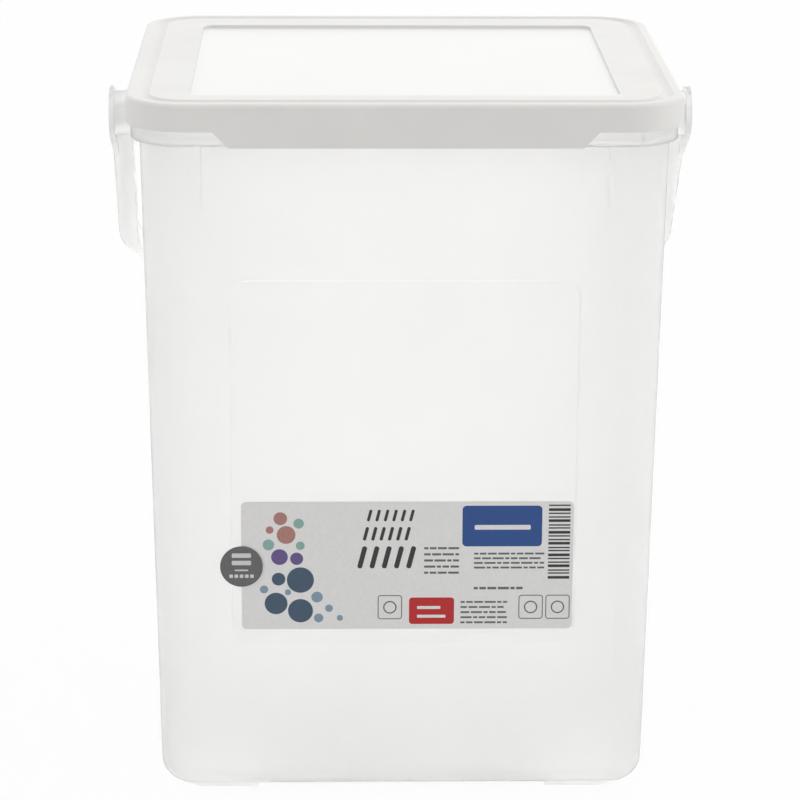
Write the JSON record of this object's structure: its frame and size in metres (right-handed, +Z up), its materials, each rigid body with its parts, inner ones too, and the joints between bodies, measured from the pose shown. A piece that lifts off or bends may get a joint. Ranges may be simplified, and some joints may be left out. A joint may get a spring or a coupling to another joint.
{
  "type": "detergent storage container",
  "caption": "Rectangular translucent plastic tub for laundry powder with a press-on white lid, a front grip tab and a swinging carrying bail",
  "frame": {"origin": "in the plane of the four feet, in the middle of the width and depth of the whole object with its bail at rest", "axes": "+Z up, the front with its sticker and grip tab faces -Y, the bail's pivot axis runs along X"},
  "size_m": [0.2356, 0.2032, 0.2766],
  "materials": {
    "translucent_shell": "milky translucent polypropylene, satin",
    "white_lid": "opaque white polypropylene, satin",
    "translucent_bail": "milky translucent polypropylene, satin",
    "printed_film": "printed film sticker, semi-gloss",
    "dark_film": "printed film sticker, semi-gloss"
  },
  "bodies": {
    "tub": {"tub": "translucent_shell", "front_sticker": "printed_film", "round_sticker": "dark_film"},
    "lid": {"lid": "white_lid"},
    "bail": {"bail_handle": "translucent_bail"}
  },
  "joints": [
    {"name": "lid_lift", "type": "slide", "parent": "tub", "child": "lid", "axis": [0, 0, 1], "range_m": [0, 0.06]},
    {"name": "bail_swing", "type": "hinge", "parent": "tub", "child": "bail", "pos_m": [0, -0.00207, 0.2541], "axis": [1, 0, 0], "range_deg": [0, 259]}
  ]
}
